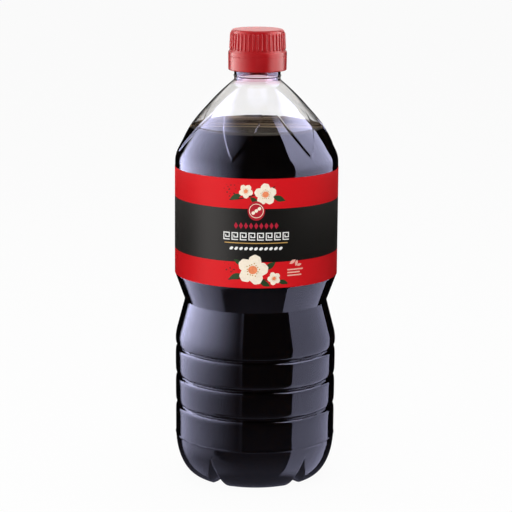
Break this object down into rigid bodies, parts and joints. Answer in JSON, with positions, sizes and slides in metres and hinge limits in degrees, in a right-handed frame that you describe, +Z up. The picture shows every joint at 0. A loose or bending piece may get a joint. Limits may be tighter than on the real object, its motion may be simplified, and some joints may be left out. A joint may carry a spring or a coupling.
{
  "type": "soy sauce bottle",
  "caption": "Clear plastic bottle of dark soy sauce with a waisted, ringed grip, a notched foot, a domed creased shoulder, a wrap-round label and a ribbed screw cap with a tear band.",
  "frame": {"origin": "centre of the foot ring, on the surface that the bottle stands on", "axes": "+Z up along the bottle's axis; -Y is the label's front, with the printed flowers and emblem; +X to the right of someone facing the front"},
  "size_m": [0.086, 0.0862, 0.2387],
  "materials": {
    "clear_plastic": "clear, glossy, colourless blown plastic",
    "soy_sauce": "near-black brown liquid, reddish brown where thin",
    "cap_plastic": "satin moulded red plastic",
    "label_film": "glossy printed film in red, black and red bands"
  },
  "bodies": {
    "root": {"bottle": "clear_plastic", "sauce": "soy_sauce", "cap": "cap_plastic", "label": "label_film"}
  },
  "joints": []
}
